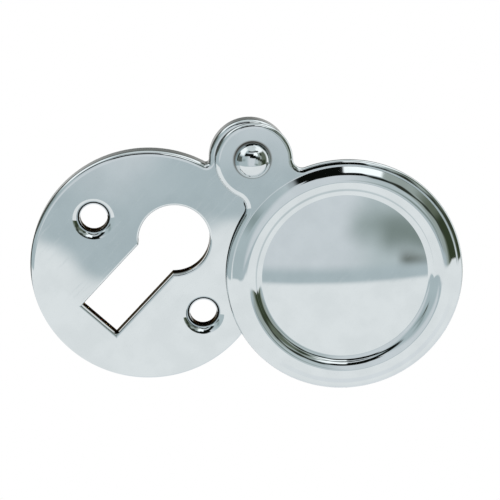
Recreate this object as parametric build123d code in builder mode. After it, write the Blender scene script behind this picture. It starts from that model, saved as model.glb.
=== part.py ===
from build123d import *
import os
from math import cos, isclose, radians, sin, tan

# Covered keyhole escutcheon: a round backplate with a keyhole, and a moulded cover that swings on a rivet.
# The backplate's back lies on the door in the plane y = 0, centred on the origin, and -Y faces the viewer.
# +Z runs up the door to the pivot, and +X is to the right seen from the front. All sizes are in millimetres.

# Backplate
plate_diameter = 32.0
plate_thickness = 2.4
plate_edge_radius = 0.4
pivot_offset = 4.4  # from the rim of the backplate up to the pivot
ear_radius = 5.4
ear_setback = 0.4  # from the pivot back to the middle of each ear, towards its disc
neck_radius = 0.25  # inner corners between an ear and its disc

# Keyhole
bow_diameter = 9.65
bow_height = 5.05  # above the centre of the backplate
slot_width = 6.3
slot_depth = 10.15  # from the centre of the backplate down to the slot's end
keyhole_edge_radius = 0.3

# Screw holes
screw_spacing = 20.0
screw_hole_diameter = 3.7
screw_countersink_diameter = 5.6
countersink_angle = 90.0

# Cover
cover_overhang = 0.15  # past the rim of the backplate, where the cover is closed
cover_drop = 0.25  # centre of the closed cover below the centre of the backplate
cover_gap = 0.2  # between the backplate and the cover
cover_open_angle = 80.6  # turned from closed, as it stands at rest
flange_height = 0.95  # also the thickness of the cover's ear
flange_edge_radius = 0.7
flange_width = 0.85  # from the rim in to the foot of the moulding
ear_reveal = 0.2  # how far the backplate's ear shows round the cover's ear
moulding_width = 2.0  # from the flange up to the crest
moulding_rise = 0.9
moulding_slope = 35.0  # of its straight outer face, which a round joins to the crest
moulding_foot_radius = 0.2
ogee_width = 2.0  # from the crest in to the groove
ogee_depth = 0.9
ogee_turn = 0.6  # share of the ogee that is convex
dome_rise = 0.9  # centre of the dome above the groove
cover_wall = 0.75

# Rivet
rivet_shank_diameter = 3.0
rivet_running_clearance = 0.05  # radial, in the cover's ear
rivet_head_diameter = 4.75
rivet_head_edge = 0.5  # upright rim below the dome of the head
rivet_head_rise = 2.0
rivet_head_gap = 0.08  # between the head and the cover's ear
rivet_tail_flare = 0.6  # spread of the tail at the back

# Places that follow from the sizes above
plate_radius = plate_diameter / 2
pivot_height = plate_radius + pivot_offset
pivot_axis = Axis((0, 0, pivot_height), (0, -1, 0))
cover_radius = plate_radius + cover_overhang
cover_arm = pivot_height + cover_drop  # from the pivot to the cover's centre
cover_back = plate_thickness + cover_gap
cover_front_of_ear = cover_back + flange_height
open_angle = radians(cover_open_angle)
cover_center = Vector(
    cover_arm * sin(open_angle), -cover_back, pivot_height - cover_arm * cos(open_angle)
)
shank_radius = rivet_shank_diameter / 2
tail_radius = shank_radius + rivet_tail_flare
half_countersink = radians(countersink_angle / 2)

with BuildPart() as backplate:
    with BuildSketch(Plane.XZ) as plate_outline:
        Circle(plate_radius)
        with Locations((0, pivot_height - ear_setback)):
            Circle(ear_radius)
        corners = plate_outline.vertices().filter_by_position(Axis.Y, plate_radius / 2, plate_radius)
        fillet(corners, neck_radius)
    extrude(amount=plate_thickness)
    fillet(backplate.faces().sort_by(Axis.Y)[0].edges(), plate_edge_radius)

    with BuildSketch(Plane.XZ) as keyhole:
        with Locations((0, bow_height)):
            Circle(bow_diameter / 2)
            Rectangle(slot_width, bow_height + slot_depth, align=(Align.CENTER, Align.MAX))
    extrude(amount=plate_thickness, mode=Mode.SUBTRACT)
    fillet(backplate.faces().sort_by(Axis.Y)[0].inner_wires()[0].edges(), keyhole_edge_radius)

    with Locations(Plane.XZ.offset(plate_thickness)):
        with GridLocations(screw_spacing, 0, 2, 1):
            CounterSinkHole(
                screw_hole_diameter / 2,
                screw_countersink_diameter / 2,
                counter_sink_angle=countersink_angle,
            )
    # The rivet's hole is countersunk at the back for its spread tail
    with Locations(Plane((0, 0, pivot_height), z_dir=(0, 1, 0))):
        CounterSinkHole(shank_radius, tail_radius, counter_sink_angle=countersink_angle)

# The cover's own planes: its outline, seen from the front with its ear up, and a section through its centre
cover_plane = Plane(
    cover_center, x_dir=(cos(open_angle), 0, sin(open_angle)), z_dir=(0, -1, 0)
)
section_plane = Plane(cover_center, x_dir=(1, 0, 0), z_dir=(0, 0, -1))
cover_axis = Axis(cover_center, (0, -1, 0))
moulding_foot = cover_radius - flange_width
outer_slope = radians(moulding_slope)
moulding_radius = (moulding_width * tan(outer_slope) - moulding_rise) / (1 / cos(outer_slope) - 1)
crest_radius = moulding_foot - moulding_width
crest_height = flange_height + moulding_rise
groove_radius = crest_radius - ogee_width
groove_height = crest_height - ogee_depth
dome_height = groove_height + dome_rise

with BuildPart() as swing_cover:
    with BuildSketch(cover_plane) as cover_outline:
        Circle(cover_radius)
        with Locations((0, cover_arm - ear_setback)):
            Circle(ear_radius - ear_reveal)
        corners = cover_outline.vertices().filter_by_position(Axis.Y, cover_radius / 2, cover_radius)
        fillet(corners, neck_radius)
    extrude(amount=flange_height)
    fillet(swing_cover.faces().sort_by(Axis.Y)[0].edges(), flange_edge_radius)

    # Moulding: a slope and a round up to the crest, an ogee down to the groove, and a shallow dome
    with BuildSketch(section_plane):
        with BuildLine():
            crest = (crest_radius, crest_height)
            groove = (groove_radius, groove_height)
            turn = (crest_radius - ogee_turn * ogee_width, crest_height - ogee_turn * ogee_depth)
            shoulder = (
                crest_radius + moulding_radius * sin(outer_slope),
                crest_height - moulding_radius * (1 - cos(outer_slope)),
            )
            Polyline(
                (0, dome_height),
                (0, 0),
                (moulding_foot, 0),
                (moulding_foot, flange_height),
                shoulder,
            )
            TangentArc(crest, shoulder, tangent=(1, 0))
            convex = TangentArc(crest, turn, tangent=(-1, 0))
            TangentArc(turn, groove, tangent=convex % 1)
            TangentArc((0, dome_height), groove, tangent=(1, 0))
        make_face()
    revolve(axis=cover_axis)
    foot_edges = swing_cover.edges().filter_by(GeomType.CIRCLE)
    foot_edges = foot_edges.filter_by(lambda edge: isclose(edge.radius, moulding_foot))
    fillet(foot_edges, moulding_foot_radius)

    # The hollow leaves an even wall under the moulding and the dome, and is cut from behind the back face
    hollow_top = crest_height - cover_wall
    hollow_rim = moulding_foot + flange_height / tan(outer_slope) - cover_wall / sin(outer_slope)
    with BuildSketch(section_plane):
        with BuildLine():
            Polyline(
                (0, dome_height - cover_wall),
                (0, -flange_height),
                (hollow_rim + flange_height / tan(outer_slope), -flange_height),
                (hollow_rim - hollow_top / tan(outer_slope), hollow_top),
                (crest_radius, hollow_top),
                (groove_radius, groove_height - cover_wall),
            )
            TangentArc(
                (0, dome_height - cover_wall), (groove_radius, groove_height - cover_wall), tangent=(1, 0)
            )
        make_face()
    revolve(axis=cover_axis, mode=Mode.SUBTRACT)

    with Locations(Plane((0, -cover_front_of_ear, pivot_height), z_dir=(0, -1, 0))):
        Hole(shank_radius + rivet_running_clearance, depth=flange_height)

with BuildPart() as pivot_rivet:
    head_base = cover_front_of_ear + rivet_head_gap
    head_radius = rivet_head_diameter / 2
    tail_depth = rivet_tail_flare / tan(half_countersink)
    with BuildSketch(Plane((0, 0, pivot_height), x_dir=(1, 0, 0), z_dir=(0, 0, -1))):
        with BuildLine():
            top = head_base + rivet_head_edge + rivet_head_rise
            Polyline(
                (0, top),
                (0, 0),
                (tail_radius, 0),
                (shank_radius, tail_depth),
                (shank_radius, head_base),
                (head_radius, head_base),
                (head_radius, head_base + rivet_head_edge),
            )
            TangentArc((0, top), (head_radius, head_base + rivet_head_edge), tangent=(1, 0))
        make_face()
    revolve(axis=pivot_axis)

backplate.part.label = "backplate"
swing_cover.part.label = "swing_cover"
pivot_rivet.part.label = "pivot_rivet"

os.makedirs("parts", exist_ok=True)
export_step(backplate.part, "parts/backplate.step")
export_step(swing_cover.part, "parts/swing_cover.step")
export_step(pivot_rivet.part, "parts/pivot_rivet.step")
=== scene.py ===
import math

import bpy
import numpy as np
from mathutils import Matrix, Vector
from mathutils.geometry import tessellate_polygon


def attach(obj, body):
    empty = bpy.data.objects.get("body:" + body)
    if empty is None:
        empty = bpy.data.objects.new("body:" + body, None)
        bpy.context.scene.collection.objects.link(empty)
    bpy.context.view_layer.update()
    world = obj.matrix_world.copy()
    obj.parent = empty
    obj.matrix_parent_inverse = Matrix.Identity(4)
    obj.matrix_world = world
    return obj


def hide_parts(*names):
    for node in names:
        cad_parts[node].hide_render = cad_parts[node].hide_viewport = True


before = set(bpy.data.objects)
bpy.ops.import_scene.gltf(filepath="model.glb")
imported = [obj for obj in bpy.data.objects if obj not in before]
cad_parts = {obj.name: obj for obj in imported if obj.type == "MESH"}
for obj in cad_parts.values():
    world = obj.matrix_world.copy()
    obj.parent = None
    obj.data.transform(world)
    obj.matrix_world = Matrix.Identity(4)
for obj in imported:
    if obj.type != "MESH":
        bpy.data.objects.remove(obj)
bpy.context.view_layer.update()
scene = bpy.context.scene

MM = 0.001
QUARTER = 0.5 * math.pi
ORIGIN = (0, 0, 0)
WELD_DIGITS = 6  # points that agree in so many decimals of a millimetre are one

# Camera: its place in metres and its axes, rolled so that the plate and the open cover lie side by side
CAMERA_PLACE = Vector((-0.040003, -0.210580, 0.044397))
CAMERA_LOOK = Vector((0.22409, 0.96219, -0.15472)).normalized()
CAMERA_UP = Vector((-0.64505, 0.26551, 0.71628)).normalized()
CAMERA_RIGHT = CAMERA_LOOK.cross(CAMERA_UP).normalized()
CAMERA_LENS_MM = 115.2
CAMERA_SENSOR_MM = 36.0
CAMERA_CLIP = (0.01, 10.0)

# Backplate, in millimetres
PLATE_RADIUS = 16.0
PLATE_THICKNESS = 2.4
PLATE_EDGE = 0.7  # round of the front edge
PLATE_NECKS = (0.4, 0.4)  # rounds between disc and ear, right and left
PIVOT_HEIGHT = 20.4
EAR_RADIUS = 5.4
EAR_SETBACK = 0.4  # from the pivot back to the middle of an ear
BOW_RADIUS = 4.825
BOW_HEIGHT = 5.05
SLOT_HALF = 3.15
SLOT_END = -10.15
KEYHOLE_EDGE = 0.3
SCREW_PLACE = 10.0
SCREW_HOLE = 1.85
SCREW_SINK = 2.8
SINK_EDGE = math.radians(27)  # slope of the dished countersink at its rim
SINK_FOOT = math.radians(62)  # slope at its foot

# Cover, in millimetres
COVER_RADIUS = 16.15
COVER_ARM = 20.65  # from the pivot to the middle of the disc
COVER_BACK = 2.6
COVER_OPEN = math.radians(80.6)
COVER_EAR = 5.2
COVER_NECKS = (1.2, 2.0)
FLANGE_HEIGHT = 0.95
FLANGE_WIDTH = 0.85
FLANGE_EDGE = 0.7  # width of the rounded front edge
FLANGE_DROP = 0.4  # height of the rounded front edge
FLANGE_BEVEL = (0.62, 0.92, 0.665)  # start, end and lean, in shares of the turn from wall to front
BEVEL_CROWN = 0.02
BEVEL_ENDS = (15.8, 17.8)  # heights above the disc's middle between which the bevel runs out
RELIEF_WIDTH = 0.6  # of the slanting back of the rim
RELIEF_HEIGHT = 0.5
MOULDING_WIDTH = 2.0
MOULDING_RISE = 0.9
MOULDING_SLOPE = math.radians(35)
MOULDING_FOOT = 0.2
OGEE_WIDTH = 2.0
OGEE_DEPTH = 0.9
OGEE_TURN = 0.6  # share of the ogee that is convex
DOME_RISE = 0.9
DOME_LEAN = 0.022  # slope by which the polish leans
COVER_WALL = 0.75

# Rivet, in millimetres
SHANK_RADIUS = 1.5
SHANK_CLEARANCE = 0.05
HEAD_RADIUS = 2.375
HEAD_EDGE = 0.5
HEAD_RISE = 2.0
HEAD_GAP = 0.08
HEAD_LEAN = 0.14  # slope by which the peened head leans
TAIL_RADIUS = 2.1

# Steps round a full turn
DISC_STEPS = 360
HOLE_STEPS = 180
RIVET_STEPS = 180
PIVOT_STEPS = 120
# Steps along outlines and sections
HALF_DISC_STEPS = 240
EAR_STEPS = 120
NECK_STEPS = 24
RIM_STEPS = 15
BOW_STEPS = 180
SLOT_STEPS = 40
KEYHOLE_EDGE_STEPS = 8
SINK_STEPS = 16
FOOT_STEPS = 8
CREST_STEPS = 40
CONVEX_STEPS = 32
CONCAVE_STEPS = 24
DOME_STEPS = 60
HOLLOW_STEPS = 40
HEAD_STEPS = 48

# Studio round the object: directions in degrees in the camera's axes, azimuth to the right of the camera
WHITE = (1.0, 1.0, 1.0)
TABLE_BELOW = (0.92, 0.93, 0.95)
WALL = (0.80, 0.825, 0.85)
WALL_FOOT = (0.55, 0.62, 0.645)
BLACK_GAP = (0.004, 0.005, 0.004)
WINDOW = (1.25, 1.26, 1.26)
NEAR_WINDOW = (1.35, 1.36, 1.36)
BEHIND = (0.90, 0.91, 0.91)
BEHIND_ABOVE = (0.30, 0.32, 0.31)
# Azimuths, elevations, softness and colour of each panel, which lies over those above it
PANELS = (
    # Walls to the left and to the right
    ((-190, -28), (-90, 90), 12, (0.535, 0.61, 0.63)),
    ((15, 190), (-90, 90), 5, (0.60, 0.66, 0.67)),
    ((36, 190), (-90, 90), 5, (0.405, 0.45, 0.42)),
    ((60, 190), (-90, 90), 6, (0.15, 0.175, 0.13)),
    # Shaded strips on the left wall
    ((-66, -46), (4, 15), 6, (0.35, 0.42, 0.42)),
    ((-98, -69), (2, 28), 4, (0.11, 0.125, 0.11)),
    # Ceiling, and windows below it
    ((-190, 190), (66, 90), 6, (0.80, 0.84, 0.84)),
    ((-120, -60), (34, 68), 6, WINDOW),
    ((44, 150), (49, 76), 5, WINDOW),
    ((8, 37), (37, 53.5), 1.5, NEAR_WINDOW),
    ((22, 37), (34.5, 45), 1.5, NEAR_WINDOW),
    # Bar above the near window
    ((-40, 58), (55, 63), 2, (0.03, 0.035, 0.03)),
    # Dark gaps down the right wall
    ((53, 66), (32, 47), 4, (0.035, 0.045, 0.028)),
    ((69, 88), (-14, 11), 4, (0.045, 0.06, 0.032)),
    ((58, 72), (-4, 9), 3, (0.05, 0.06, 0.04)),
    ((46, 62), (2, 15), 3, (0.05, 0.06, 0.045)),
    ((33, 48), (8, 26.5), 3, (0.035, 0.04, 0.03)),
    ((20, 35), (14, 29.5), 3, (0.02, 0.025, 0.02)),
    # Panels beside and behind the object
    ((100, 155), (-5, 55), 8, (1.05, 1.07, 1.07)),
    ((-150, -98), (-25, 40), 5, (0.05, 0.055, 0.04)),
    ((-190, -140), (24, 62), 8, BEHIND_ABOVE),
    ((155, 190), (24, 62), 6, BEHIND_ABOVE),
    ((-190, -140), (-90, 24), 5, BEHIND),
    ((155, 190), (-90, 24), 5, BEHIND),
    # Shaded strips low on the right wall
    ((13.5, 30), (-18, -12), 4, (0.40, 0.46, 0.45)),
    ((20, 35), (-21, -13.5), 3.5, (0.27, 0.32, 0.30)),
    ((26.5, 36), (-25.5, -22.5), 2, (0.14, 0.155, 0.13)),
    # Black gap above the camera
    ((-54, -29), (31, 47), 3, BLACK_GAP),
    ((-31, -14), (32, 47), 1.5, BLACK_GAP),
    ((-16.5, 8), (22, 47), 1.5, BLACK_GAP),
    ((-4, 22.5), (20, 36.5), 1.5, BLACK_GAP),
)
WAVER_SCALE = 4.0
WAVER_DETAIL = 1.0
WAVER_AZIMUTH = 3.0
WAVER_ELEVATION = 2.0
# The table's edge, as a height on the unit sphere: its drop all round, to the front and to the left
TABLE_DROP = 0.14
TABLE_FRONT = 0.44
TABLE_LEFT = 0.16
TABLE_LEFT_START = 0.2
# Ranges over which the table, its shade and the foot of the wall set in
TABLE_EDGE = (0.018, -0.016)
TABLE_SHADE = (0.1, -0.3)
WALL_FOOT_HEIGHT = (0.11, 0.045)
WALL_FOOT_FRONT = (0.55, 0.75)
# Floor, in millimetres
FLOOR_RADIUS = 60.0
FLOOR_PLACE = (10, 0, -110)
FLOOR_STEPS = 64
FLOOR_PAINT = (0.9, 0.9, 0.9)

# Chrome
CHROME_DULL = (0.655, 0.705, 0.72)
CHROME_CLEAR = (0.69, 0.74, 0.755)
SATIN_DARK = (0.44, 0.46, 0.46)
SATIN_PALE = (0.56, 0.58, 0.58)
# Painted shade on upright edges, on undersides turned to the back, and deep in the walls of holes, where it
# also dims glancing reflections
EDGE_PAINTED_SHADE = (0.085, 0.088, 0.072)
UNDER_PAINTED_SHADE = (0.02, 0.022, 0.016)
HOLE_PAINTED_SHADE = (0.028, 0.024, 0.018)
HOLE_GLANCE_SHADE = (0.3, 0.27, 0.22)
# Dirt and painted shade in the crevice round the rivet
RIVET_DIRT_AND_SHADE = (0.115, 0.09, 0.06)
POLISHED_ROUGHNESS = 0.035
MARKS_ROUGHNESS = 0.05
EDGE_ROUGHNESS = 0.16
BACK_ROUGHNESS = 0.3
HAZE_SCALE = 260.0
HAZE_DETAIL = 4.0
HAZE_RANGE = (0.35, 0.65)
MARKS_TURN = (0, 0.7, 0)
MARKS_SCALE = (3500, 3500, 260)
MARKS_DETAIL = 2.0
MARKS_RANGE = (0.52, 0.78)
SATIN_RANGE = (0.3, 0.7)
HILLS_SCALE = 95.0
HILLS_DETAIL = 1.0
# How far a surface faces the back, from -1 to 1: where edges start and end, where the painted shade on
# undersides starts, and where the back starts
EDGE_START = (-0.45, -0.12)
EDGE_END = (0.9, 0.75)
UNDER_START = (0.0, 0.3)
BACK_START = (0.2, 0.6)
# In millimetres: dirt and painted shade round the rivet, painted shade on the walls of holes, and the wave in
# which the plate's face twists
DIRT_AND_SHADE_RANGE = (2.72, 2.4)
HOLES_SOFT = 1.5
HOLES_DEPTH = (-1.9, -1.4)
WARP_LENGTH = 32.0
WARP_MIDDLE = -3.7
WARP_ALONG = (0.73, 0, 0.68)
WARP_ACROSS = (-0.68, 0, 0.73)
PLATE_POLISH = {"seed": 0.0, "swell": 7e-5, "dirt_and_shade": 0.7, "holes": 13.0, "warp": 0.012}
COVER_POLISH = {"seed": 1.7, "swell": 1.5e-5, "dirt_and_shade": 0.8}
RIVET_POLISH = {"seed": 3.1, "swell": 5e-6}


class Skin:
    """A mesh gathered patch by patch in millimetres, welded, with the true normal at every corner."""

    def __init__(self):
        self.places = {}
        self.points = []
        self.faces = []
        self.normals = []

    def vertex(self, point):
        key = tuple(round(c, WELD_DIGITS) for c in point)
        if key not in self.places:
            self.places[key] = len(self.points)
            self.points.append(key)
        return self.places[key]

    def face(self, corners):
        """Corners are (point, normal) pairs. The winding follows the normals."""
        kept = []
        for point, normal in corners:
            index = self.vertex(point)
            if index not in [k[0] for k in kept]:
                kept.append((index, normal))
        if len(kept) < 3:
            return
        a, b, c = (Vector(self.points[k[0]]) for k in kept[:3])
        if (b - a).cross(c - a).dot(sum((Vector(k[1]) for k in kept), Vector())) < 0:
            kept.reverse()
        self.faces.append([k[0] for k in kept])
        self.normals.extend(k[1] for k in kept)

    def grid(self, rows):
        """A patch between rows of (point, normal) pairs, all of the same length."""
        for low, high in zip(rows, rows[1:]):
            for i in range(len(low) - 1):
                self.face((low[i], low[i + 1], high[i + 1], high[i]))

    def flat(self, loops, height, facing):
        """A level face inside the first loop and outside the others."""
        points = [(u, v, height) for loop in loops for u, v in loop]
        rings = [[Vector((u, v, height)) for u, v in loop] for loop in loops]
        for triangle in tessellate_polygon(rings):
            self.face([(points[i], (0, 0, facing)) for i in triangle])

    def lathe(self, profile, center, segments=DISC_STEPS, lean=(0, 0)):
        """Turns a profile of (radius, height, normal out, normal up) about an upright axis."""
        rows = []
        for radius, height, out, up in profile:
            row = []
            for i in range(segments + 1):
                angle = 2 * math.pi * (i % segments) / segments
                x, y = math.cos(angle), math.sin(angle)
                point = (center[0] + radius * x, center[1] + radius * y, height)
                row.append((point, (out * x + lean[0], out * y + lean[1], up)))
            rows.append(row)
        self.grid(rows)

    def build(self, name, axes, origin):
        """The object, with its own axes (three unit vectors) and its origin in millimetres."""
        turn = np.array(axes)
        points = (np.array(self.points) @ turn + np.array(origin)) * MM
        normals = np.array(self.normals) @ turn
        mesh = bpy.data.meshes.new(name)
        mesh.from_pydata(points.tolist(), [], self.faces)
        mesh.polygons.foreach_set("use_smooth", [True] * len(self.faces))
        mesh.normals_split_custom_set(normals.tolist())
        skin = bpy.data.objects.new(name, mesh)
        scene.collection.objects.link(skin)
        return skin


def arc(center, radius, start, end, steps, hollow=False):
    """Points of an arc in a section as (radius, height, normal out, normal up), angles in radians."""
    side = -1 if hollow else 1
    points = []
    for i in range(steps + 1):
        angle = start + (end - start) * i / steps
        x, y = math.cos(angle), math.sin(angle)
        points.append((center[0] + radius * x, center[1] + radius * y, side * x, side * y))
    return points


def line(first, last):
    """Both ends of a straight run in a section, with the normal to the right of its direction."""
    run, rise = last[0] - first[0], last[1] - first[1]
    length = math.hypot(run, rise)
    normal = (rise / length, -run / length)
    return [first + normal, last + normal]


def ring(center, radius, segments=DISC_STEPS):
    """Points round a circle."""
    turns = [2 * math.pi * i / segments for i in range(segments)]
    return [(center[0] + radius * math.cos(a), center[1] + radius * math.sin(a)) for a in turns]


def eared_outline(disc, arm, ear, necks):
    """A disc with an ear above it, as (u, v, normal u, normal v) round the outline from the foot.

    It runs anticlockwise. necks are the rounds on the right and on the left.
    """
    points = []

    def run(center, radius, start, end, steps, side):
        for i in range(steps):
            angle = start + (end - start) * i / steps
            x, y = math.cos(angle), math.sin(angle)
            points.append((center[0] + radius * x, center[1] + radius * y, side * x, side * y))

    def touch(neck):
        """The middle of a neck's round, and where it touches the disc and the ear from outside."""
        reach_disc, reach_ear = disc + neck, ear + neck
        up = (arm * arm + reach_disc**2 - reach_ear**2) / (2 * arm)
        out = math.sqrt(reach_disc**2 - up * up)
        return out, up, math.atan2(up, out), math.atan2(up - arm, out)

    right, left = necks
    out, up, on_disc, on_ear = touch(right)
    far_out, far_up, far_disc, far_ear = touch(left)
    run((0, 0), disc, -QUARTER, on_disc, HALF_DISC_STEPS, 1)
    run((out, up), right, on_disc + math.pi, on_ear + math.pi, NECK_STEPS, -1)
    run((0, arm), ear, on_ear, math.pi - far_ear, EAR_STEPS, 1)
    run((-far_out, far_up), left, -far_ear, -far_disc, NECK_STEPS, -1)
    run((0, 0), disc, math.pi - far_disc, 3 * QUARTER, HALF_DISC_STEPS, 1)
    return points


def rim(skin, outline, low, high, edge, drop, bevel=None):
    """The upright wall of an outline, with a front edge rounded by edge across and drop in height.

    A bevel (start, end, lean), in shares of the turn from the wall to the front, is polished nearly flat
    round the disc, and runs out at the ear. Returns the loop of the front face.
    """
    closed = outline + outline[:1]
    rows = [[((u, v, low), (nu, nv, 0)) for u, v, nu, nv in closed]]
    for i in range(RIM_STEPS + 1):
        share = leaning = i / RIM_STEPS
        inset = edge * (1 - math.cos(QUARTER * share))
        height = high - drop * (1 - math.sin(QUARTER * share))
        if bevel:
            start, end, lean = bevel
            leaning = np.interp(share, (0, start, end, 1), (0, lean - BEVEL_CROWN, lean + BEVEL_CROWN, 1))
        row = []
        for u, v, nu, nv in closed:
            angle = QUARTER * np.interp(v, BEVEL_ENDS, (leaning, share))
            x, y = math.cos(angle), math.sin(angle)
            row.append(((u - inset * nu, v - inset * nv, height), (nu * x, nv * x, y)))
        rows.append(row)
    skin.grid(rows)
    return [(u - edge * nu, v - edge * nv) for u, v, nu, nv in outline]


def keyhole_loop(spread):
    """The keyhole's outline, wider all round by spread, as its sides: bow, left, foot and right."""
    radius, half, end = BOW_RADIUS + spread, SLOT_HALF + spread, SLOT_END - spread
    drop = math.sqrt(radius**2 - half**2)
    start = math.atan2(-drop, half)
    bow = []
    for i in range(BOW_STEPS + 1):
        angle = start + (math.pi - 2 * start) * i / BOW_STEPS
        x, y = math.cos(angle), math.sin(angle)
        bow.append((radius * x, BOW_HEIGHT + radius * y, -x, -y))
    top = BOW_HEIGHT - drop
    share = [i / SLOT_STEPS for i in range(SLOT_STEPS + 1)]
    left = [(-half, top + (end - top) * s, 1, 0) for s in share]
    foot = [(-half + 2 * half * s, end, 0, 1) for s in share]
    right = [(half, end + (top - end) * s, -1, 0) for s in share]
    return [bow, left, foot, right]


def build_plate():
    skin = Skin()
    outline = eared_outline(PLATE_RADIUS, PIVOT_HEIGHT - EAR_SETBACK, EAR_RADIUS, PLATE_NECKS)
    front = [rim(skin, outline, 0, PLATE_THICKNESS, PLATE_EDGE, PLATE_EDGE)]
    back = [[(u, v) for u, v, nu, nv in outline]]

    # The keyhole's wall, and its rounded front edge
    levels = [(0, 0, 1, 0)]
    for i in range(KEYHOLE_EDGE_STEPS + 1):
        angle = QUARTER * i / KEYHOLE_EDGE_STEPS
        spread = KEYHOLE_EDGE * (1 - math.cos(angle))
        height = PLATE_THICKNESS - KEYHOLE_EDGE * (1 - math.sin(angle))
        levels.append((spread, height, math.cos(angle), math.sin(angle)))
    sides = [keyhole_loop(level[0]) for level in levels]
    for strips in zip(*sides):
        rows = []
        for strip, (spread, height, x, y) in zip(strips, levels):
            rows.append([((u, v, height), (nu * x, nv * x, y)) for u, v, nu, nv in strip])
        skin.grid(rows)
    front.append([(u, v) for side in sides[-1] for u, v, nu, nv in side[:-1]])
    back.append([(u, v) for side in sides[0] for u, v, nu, nv in side[:-1]])

    # Countersunk screw holes, dished by polishing
    dish = (SCREW_SINK - SCREW_HOLE) / (math.sin(SINK_FOOT) - math.sin(SINK_EDGE))
    middle = (SCREW_SINK + dish * math.sin(SINK_EDGE), PLATE_THICKNESS - dish * math.cos(SINK_EDGE))
    sink = arc(middle, dish, QUARTER + SINK_EDGE, QUARTER + SINK_FOOT, SINK_STEPS)
    bore = [(SCREW_HOLE, sink[-1][1], -1, 0), (SCREW_HOLE, 0, -1, 0)]
    for place in (-SCREW_PLACE, SCREW_PLACE):
        center = (place, 0)
        skin.lathe(sink, center, HOLE_STEPS)
        skin.lathe(bore, center, HOLE_STEPS)
        front.append(ring(center, SCREW_SINK, HOLE_STEPS))
        back.append(ring(center, SCREW_HOLE, HOLE_STEPS))

    # The rivet's hole, countersunk at the back
    pivot = (0, PIVOT_HEIGHT)
    flare = TAIL_RADIUS - SHANK_RADIUS
    skin.lathe(line((SHANK_RADIUS, PLATE_THICKNESS), (SHANK_RADIUS, flare)), pivot, PIVOT_STEPS)
    skin.lathe(line((SHANK_RADIUS, flare), (TAIL_RADIUS, 0)), pivot, PIVOT_STEPS)
    front.append(ring(pivot, SHANK_RADIUS, PIVOT_STEPS))
    back.append(ring(pivot, TAIL_RADIUS, PIVOT_STEPS))
    skin.flat(front, PLATE_THICKNESS, 1)
    skin.flat(back, 0, -1)
    return skin.build("backplate_skin", ((1, 0, 0), (0, 0, 1), (0, -1, 0)), ORIGIN)


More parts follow.
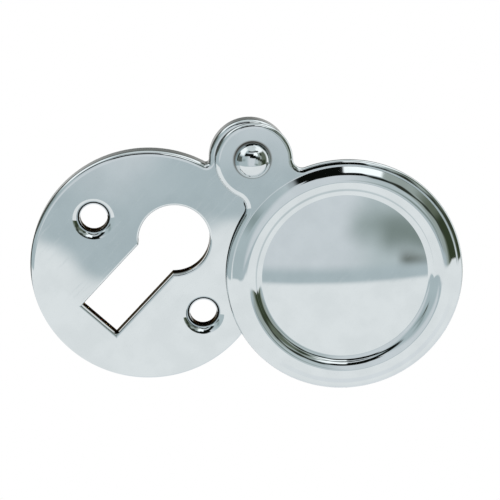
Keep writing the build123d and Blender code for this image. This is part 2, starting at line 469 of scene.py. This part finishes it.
def build_cover():
    skin = Skin()
    outline = eared_outline(COVER_RADIUS, COVER_ARM - EAR_SETBACK, COVER_EAR, COVER_NECKS)
    front = [rim(skin, outline, RELIEF_HEIGHT, FLANGE_HEIGHT, FLANGE_EDGE, FLANGE_DROP, FLANGE_BEVEL)]

    # The back of the rim is relieved, which leaves a dark gap to the plate
    slant = math.atan2(RELIEF_HEIGHT, RELIEF_WIDTH)
    x, y = math.sin(slant), -math.cos(slant)
    closed = outline + outline[:1]
    rows = []
    for inset, height in ((RELIEF_WIDTH, 0), (0, RELIEF_HEIGHT)):
        row = [((u - inset * nu, v - inset * nv, height), (nu * x, nv * x, y)) for u, v, nu, nv in closed]
        rows.append(row)
    skin.grid(rows)
    back = [[(u - RELIEF_WIDTH * nu, v - RELIEF_WIDTH * nv) for u, v, nu, nv in outline]]

    # Section from the foot of the moulding in to the groove: a slope, a round, and an ogee
    foot = COVER_RADIUS - FLANGE_WIDTH
    crest, crest_height = foot - MOULDING_WIDTH, FLANGE_HEIGHT + MOULDING_RISE
    steep_tan, steep_cos = math.tan(MOULDING_SLOPE), math.cos(MOULDING_SLOPE)
    round_radius = (MOULDING_WIDTH * steep_tan - MOULDING_RISE) / (1 / steep_cos - 1)
    inner_foot = foot + MOULDING_FOOT * math.tan(0.5 * MOULDING_SLOPE)
    groove, groove_height = crest - OGEE_WIDTH, crest_height - OGEE_DEPTH
    chord = OGEE_WIDTH**2 + OGEE_DEPTH**2
    convex = OGEE_TURN * chord / (2 * OGEE_DEPTH)
    concave = (1 - OGEE_TURN) * chord / (2 * OGEE_DEPTH)
    steep = math.asin(OGEE_TURN * OGEE_WIDTH / convex)
    low = (inner_foot, FLANGE_HEIGHT + MOULDING_FOOT)
    profile = arc(low, MOULDING_FOOT, -QUARTER, -QUARTER - MOULDING_SLOPE, FOOT_STEPS, hollow=True)
    middle = (crest, crest_height - round_radius)
    profile += arc(middle, round_radius, QUARTER - MOULDING_SLOPE, QUARTER, CREST_STEPS)
    middle = (crest, crest_height - convex)
    profile += arc(middle, convex, QUARTER, QUARTER + steep, CONVEX_STEPS)[1:]
    middle = (groove, groove_height + concave)
    profile += arc(middle, concave, steep - QUARTER, -QUARTER, CONCAVE_STEPS, hollow=True)[1:]
    center = (0, 0)
    skin.lathe(profile, center)
    front.append(ring(center, inner_foot))

    # The dome, whose polish leans a little
    dome_height = groove_height + DOME_RISE
    dome = (groove**2 + DOME_RISE**2) / (2 * DOME_RISE)
    tilt = math.asin(groove / dome)
    across = Vector((math.cos(COVER_OPEN), 0, math.sin(COVER_OPEN)))
    along = Vector((-math.sin(COVER_OPEN), 0, math.cos(COVER_OPEN)))
    lean = (DOME_LEAN * across.dot(CAMERA_UP), DOME_LEAN * along.dot(CAMERA_UP))
    cap = arc((0, dome_height - dome), dome, QUARTER - tilt, QUARTER, DOME_STEPS)
    skin.lathe(cap, center, lean=lean)

    # The hollow behind
    top, under = crest_height - COVER_WALL, dome_height - COVER_WALL
    opening = foot + FLANGE_HEIGHT / steep_tan - COVER_WALL / math.sin(MOULDING_SLOPE)
    inner = opening - top / steep_tan
    skin.lathe(line((inner, top), (opening, 0)), center)
    skin.lathe(line((crest, top), (inner, top)), center)
    skin.lathe(line((groove, groove_height - COVER_WALL), (crest, top)), center)
    vault = arc((0, under - dome), dome, QUARTER - tilt, QUARTER, HOLLOW_STEPS, hollow=True)
    skin.lathe(vault, center)
    back.append(ring(center, opening))

    # The hole for the rivet
    pivot = (0, COVER_ARM)
    bearing = SHANK_RADIUS + SHANK_CLEARANCE
    skin.lathe([(bearing, 0, -1, 0), (bearing, FLANGE_HEIGHT, -1, 0)], pivot, PIVOT_STEPS)
    front.append(ring(pivot, bearing, PIVOT_STEPS))
    back.append(ring(pivot, bearing, PIVOT_STEPS))
    skin.flat(front, FLANGE_HEIGHT, 1)
    skin.flat(back, 0, -1)
    origin = (-COVER_ARM * along.x, -COVER_BACK, PIVOT_HEIGHT - COVER_ARM * along.z)
    return skin.build("swing_cover_skin", (across, along, (0, -1, 0)), origin)


def build_rivet():
    skin = Skin()
    center = (0, 0)
    base = COVER_BACK + FLANGE_HEIGHT + HEAD_GAP
    ball = (HEAD_RADIUS**2 + HEAD_RISE**2) / (2 * HEAD_RISE)
    tilt = math.asin(HEAD_RADIUS / ball)
    flare = TAIL_RADIUS - SHANK_RADIUS
    lean = (HEAD_LEAN * CAMERA_UP.x, HEAD_LEAN * CAMERA_UP.z)
    head = arc((0, base + HEAD_EDGE + HEAD_RISE - ball), ball, QUARTER - tilt, QUARTER, HEAD_STEPS)
    skin.lathe(head, center, RIVET_STEPS, lean)
    skin.lathe(line((HEAD_RADIUS, base), (HEAD_RADIUS, base + HEAD_EDGE)), center, RIVET_STEPS)
    skin.lathe(line((SHANK_RADIUS, base), (HEAD_RADIUS, base)), center, RIVET_STEPS)
    skin.lathe(line((SHANK_RADIUS, flare), (SHANK_RADIUS, base)), center, RIVET_STEPS)
    skin.lathe(line((TAIL_RADIUS, 0), (SHANK_RADIUS, flare)), center, RIVET_STEPS)
    skin.lathe(line((0, 0), (TAIL_RADIUS, 0)), center, RIVET_STEPS)
    return skin.build("pivot_rivet_skin", ((1, 0, 0), (0, 0, 1), (0, -1, 0)), (0, 0, PIVOT_HEIGHT))


def build_camera():
    data = bpy.data.cameras.new("camera")
    data.lens = CAMERA_LENS_MM
    data.sensor_width = CAMERA_SENSOR_MM
    data.clip_start, data.clip_end = CAMERA_CLIP
    camera = bpy.data.objects.new("camera", data)
    axes = Matrix((CAMERA_RIGHT, CAMERA_UP, -CAMERA_LOOK)).transposed()
    camera.matrix_world = Matrix.Translation(CAMERA_PLACE) @ axes.to_4x4()
    scene.collection.objects.link(camera)
    scene.camera = camera


class Nodes:
    """A node tree with short calls for the few kinds of node that are used here."""

    def __init__(self, tree):
        self.tree = tree
        tree.nodes.clear()

    def add(self, kind, inputs=None, **settings):
        node = self.tree.nodes.new(kind)
        for name, value in settings.items():
            setattr(node, name, value)
        for key, value in (inputs or {}).items():
            self.put(node.inputs[key], value)
        return node

    def put(self, socket, value):
        if isinstance(value, bpy.types.NodeSocket):
            self.tree.links.new(value, socket)
        elif socket.type == "RGBA":
            socket.default_value = value + (1,)
        else:
            socket.default_value = value

    def math(self, operation, *values):
        return self.add("ShaderNodeMath", dict(enumerate(values)), operation=operation).outputs[0]

    def vector(self, operation, *values):
        return self.add("ShaderNodeVectorMath", dict(enumerate(values)), operation=operation).outputs

    def dot(self, vector, axis):
        return self.vector("DOT_PRODUCT", vector, tuple(axis))["Value"]

    def off_axis(self, place, center):
        """Distance from the axis through center, square to the plate."""
        away = self.vector("SUBTRACT", place, center)["Vector"]
        level = self.vector("MULTIPLY", away, (1, 0, 1))["Vector"]
        return self.vector("LENGTH", level)["Value"]

    def smooth(self, value, start, end):
        """0 where value is at start, 1 where it is at end, and a smooth step between."""
        inputs = {"Value": value, "From Min": start, "From Max": end}
        return self.add("ShaderNodeMapRange", inputs, interpolation_type="SMOOTHSTEP").outputs["Result"]

    def between(self, value, low, high, soft):
        """1 between low and high, with soft ends."""
        above = self.smooth(value, low - soft, low + soft)
        below = self.smooth(value, high + soft, high - soft)
        return self.math("MULTIPLY", above, below)

    def sway(self, value, noise, reach):
        """The value, moved by up to reach either way."""
        return self.math("MULTIPLY_ADD", noise, 2 * reach, self.math("SUBTRACT", value, reach))

    def noise(self, place, scale, detail):
        return self.add("ShaderNodeTexNoise", {"Vector": place, "Scale": scale, "Detail": detail}).outputs

    def mix(self, factor, first, second):
        """A colour between two others, by the node's sockets for colours."""
        inputs = {"Factor": factor, 6: first, 7: second}
        return self.add("ShaderNodeMix", inputs, data_type="RGBA").outputs[2]

    def blend(self, factor, first, second):
        """A shader between two others."""
        inputs = {0: factor, 1: first.outputs[0], 2: second.outputs[0]}
        return self.add("ShaderNodeMixShader", inputs).outputs[0]


def build_world():
    """A studio round the object: a white table below, grey walls, and dark gaps between soft panels."""
    world = bpy.data.worlds.new("studio")
    world.use_nodes = True
    scene.world = world
    nodes = Nodes(world.node_tree)
    direction = nodes.add("ShaderNodeTexCoord").outputs["Generated"]
    right = nodes.dot(direction, CAMERA_RIGHT)
    up = nodes.dot(direction, CAMERA_UP)
    front = nodes.dot(direction, -CAMERA_LOOK)
    elevation = nodes.math("DEGREES", nodes.math("ARCSINE", up))
    azimuth = nodes.math("DEGREES", nodes.math("ARCTAN2", right, front))

    # The panels' edges waver a little
    waver = nodes.noise(direction, WAVER_SCALE, WAVER_DETAIL)["Color"]
    shift = nodes.add("ShaderNodeSeparateColor", {"Color": waver}).outputs
    azimuth = nodes.sway(azimuth, shift["Red"], WAVER_AZIMUTH)
    elevation = nodes.sway(elevation, shift["Green"], WAVER_ELEVATION)
    colour = WALL
    for azimuths, elevations, soft, tone in PANELS:
        sides = nodes.between(azimuth, *azimuths, soft)
        ends = nodes.between(elevation, *elevations, soft)
        colour = nodes.mix(nodes.math("MULTIPLY", sides, ends), colour, tone)

    # The table's edge is low in front of the object and rises to the sides
    level = nodes.math("ADD", up, TABLE_DROP)
    level = nodes.math("MULTIPLY_ADD", nodes.math("MAXIMUM", front, 0.0), TABLE_FRONT, level)
    leftward = nodes.math("MULTIPLY_ADD", right, -1.0, -TABLE_LEFT_START)
    level = nodes.math("MULTIPLY_ADD", nodes.math("MAXIMUM", leftward, 0.0), TABLE_LEFT, level)
    near = nodes.smooth(front, *WALL_FOOT_FRONT)
    foot = nodes.math("MULTIPLY", nodes.smooth(level, *WALL_FOOT_HEIGHT), near)
    colour = nodes.mix(foot, colour, WALL_FOOT)
    shade = nodes.smooth(front, *TABLE_SHADE)
    table = nodes.smooth(level, *TABLE_EDGE)
    colour = nodes.mix(table, colour, nodes.mix(shade, WHITE, TABLE_BELOW))

    # The white round the object is what the camera sees, and what the metal mirrors where the table lies
    rays = nodes.add("ShaderNodeLightPath").outputs
    lit = nodes.math("MULTIPLY", table, nodes.math("SUBTRACT", 1.0, shade))
    mirrored = nodes.math("MAXIMUM", rays["Is Glossy Ray"], rays["Is Transmission Ray"])
    white = nodes.math("MAXIMUM", rays["Is Camera Ray"], nodes.math("MULTIPLY", mirrored, lit))
    studio = nodes.add("ShaderNodeBackground", {"Color": colour})
    backdrop = nodes.add("ShaderNodeBackground", {"Color": WHITE})
    nodes.add("ShaderNodeOutputWorld", {"Surface": nodes.blend(white, studio, backdrop)})


def build_floor():
    """A small plain floor below the object, white like the rest of the background."""
    skin = Skin()
    skin.flat([ring((0, 0), FLOOR_RADIUS, FLOOR_STEPS)], 0, 1)
    floor = skin.build("floor", ((1, 0, 0), (0, 1, 0), (0, 0, 1)), FLOOR_PLACE)
    material = bpy.data.materials.new("floor_white")
    material.use_nodes = True
    nodes = Nodes(material.node_tree)
    rays = nodes.add("ShaderNodeLightPath").outputs
    mirrored = nodes.math("MAXIMUM", rays["Is Glossy Ray"], rays["Is Transmission Ray"])
    white = nodes.math("MAXIMUM", rays["Is Camera Ray"], mirrored)
    paint = nodes.add("ShaderNodeBsdfDiffuse", {"Color": FLOOR_PAINT})
    glow = nodes.add("ShaderNodeEmission", {"Color": WHITE, "Strength": 1.0})
    nodes.add("ShaderNodeOutputMaterial", {"Surface": nodes.blend(white, paint, glow)})
    floor.data.materials.append(material)


def chrome(name, seed, swell, dirt_and_shade=0.0, holes=0.0, warp=0.0):
    """Polished chrome: faintly wavy and hazed, with painted shade on upright edges and undersides, and satin
    at the back.

    seed shifts the noise, swell is the height of the waves in metres, and the third argument is how much dirt
    and painted shade lie round the rivet. Upright walls within the radius holes, in millimetres, are those of
    holes, with painted shade deep down. warp twists the face.
    """
    material = bpy.data.materials.new(name)
    material.use_nodes = True
    nodes = Nodes(material.node_tree)
    coordinates = nodes.add("ShaderNodeTexCoord").outputs
    place = coordinates["Object"]
    spot = nodes.vector("ADD", place, (seed, 0, 0))["Vector"]
    facing = nodes.dot(coordinates["Normal"], (0, 1, 0))
    edge = nodes.math("MULTIPLY", nodes.smooth(facing, *EDGE_START), nodes.smooth(facing, *EDGE_END))
    back = nodes.smooth(facing, *BACK_START)
    # Painted shade on upright edges, darker on undersides turned to the back
    painted_shade = nodes.mix(nodes.smooth(facing, *UNDER_START), EDGE_PAINTED_SHADE, UNDER_PAINTED_SHADE)
    shader = nodes.add("ShaderNodeBsdfPrincipled", {"Metallic": 1.0})
    if holes:
        # Painted shade on the walls of holes, darkest deep down, also at a glancing angle
        reach = nodes.off_axis(place, ORIGIN)
        outer = nodes.smooth(reach, (holes - HOLES_SOFT) * MM, (holes + HOLES_SOFT) * MM)
        deep = nodes.smooth(nodes.dot(place, (0, 1, 0)), HOLES_DEPTH[0] * MM, HOLES_DEPTH[1] * MM)
        edge = nodes.math("MULTIPLY", edge, nodes.math("MAXIMUM", outer, deep))
        painted_shade = nodes.mix(outer, HOLE_PAINTED_SHADE, painted_shade)
        # Painted shade that dims the glancing reflection on the walls of holes
        walls = nodes.math("MULTIPLY", edge, nodes.math("SUBTRACT", 1.0, outer))
        nodes.put(shader.inputs["Specular Tint"], nodes.mix(walls, WHITE, HOLE_GLANCE_SHADE))

    # Haze over the polish, and fine marks that run one way
    haze = nodes.noise(spot, HAZE_SCALE, HAZE_DETAIL)["Fac"]
    brush = nodes.add("ShaderNodeMapping", {"Vector": spot, "Rotation": MARKS_TURN, "Scale": MARKS_SCALE})
    marks = nodes.noise(brush.outputs[0], 1.0, MARKS_DETAIL)["Fac"]
    colour = nodes.mix(nodes.smooth(haze, *HAZE_RANGE), CHROME_DULL, CHROME_CLEAR)
    satin = nodes.mix(nodes.smooth(marks, *SATIN_RANGE), SATIN_DARK, SATIN_PALE)
    colour = nodes.mix(back, colour, satin)
    # Painted shade on upright edges, undersides and the walls of holes
    colour = nodes.mix(edge, colour, painted_shade)
    if dirt_and_shade:
        # Dirt and painted shade in the crevice round the rivet
        far = nodes.off_axis(place, (0, 0, PIVOT_HEIGHT * MM))
        near = nodes.smooth(far, DIRT_AND_SHADE_RANGE[0] * MM, DIRT_AND_SHADE_RANGE[1] * MM)
        colour = nodes.mix(nodes.math("MULTIPLY", near, dirt_and_shade), colour, RIVET_DIRT_AND_SHADE)
    nodes.put(shader.inputs["Base Color"], colour)

    rough = nodes.math("MULTIPLY_ADD", nodes.smooth(marks, *MARKS_RANGE), MARKS_ROUGHNESS, POLISHED_ROUGHNESS)
    rough = nodes.math("MULTIPLY_ADD", edge, EDGE_ROUGHNESS, rough)
    rough = nodes.math("MULTIPLY_ADD", back, BACK_ROUGHNESS, rough)
    nodes.put(shader.inputs["Roughness"], rough)

    height = nodes.noise(spot, HILLS_SCALE, HILLS_DETAIL)["Fac"]
    if warp:
        # The face is a little twisted, most about the middle of the keyhole
        along = nodes.math("SUBTRACT", nodes.dot(place, WARP_ALONG), WARP_MIDDLE * MM)
        turn = nodes.math("COSINE", nodes.math("MULTIPLY", along, 2 * math.pi / (WARP_LENGTH * MM)))
        lift = nodes.math("MULTIPLY", nodes.dot(place, WARP_ACROSS), turn)
        height = nodes.math("MULTIPLY_ADD", lift, -warp / swell, height)
    wave = nodes.add("ShaderNodeBump", {"Height": height, "Strength": 1.0, "Distance": swell})
    nodes.put(shader.inputs["Normal"], wave.outputs[0])
    nodes.add("ShaderNodeOutputMaterial", {"Surface": shader.outputs[0]})
    return material


build_camera()
build_world()
build_floor()
for skin, node, body, slot, polish in (
    (build_plate(), "backplate", "plate", "plate_chrome", PLATE_POLISH),
    (build_cover(), "swing_cover", "cover", "cover_chrome", COVER_POLISH),
    (build_rivet(), "pivot_rivet", "plate", "rivet_chrome", RIVET_POLISH),
):
    finish = chrome(slot, **polish)
    skin.data.materials.append(finish)
    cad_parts[node].data.materials.clear()
    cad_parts[node].data.materials.append(finish)
    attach(skin, body)
    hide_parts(node)

scene.view_settings.view_transform = "Standard"
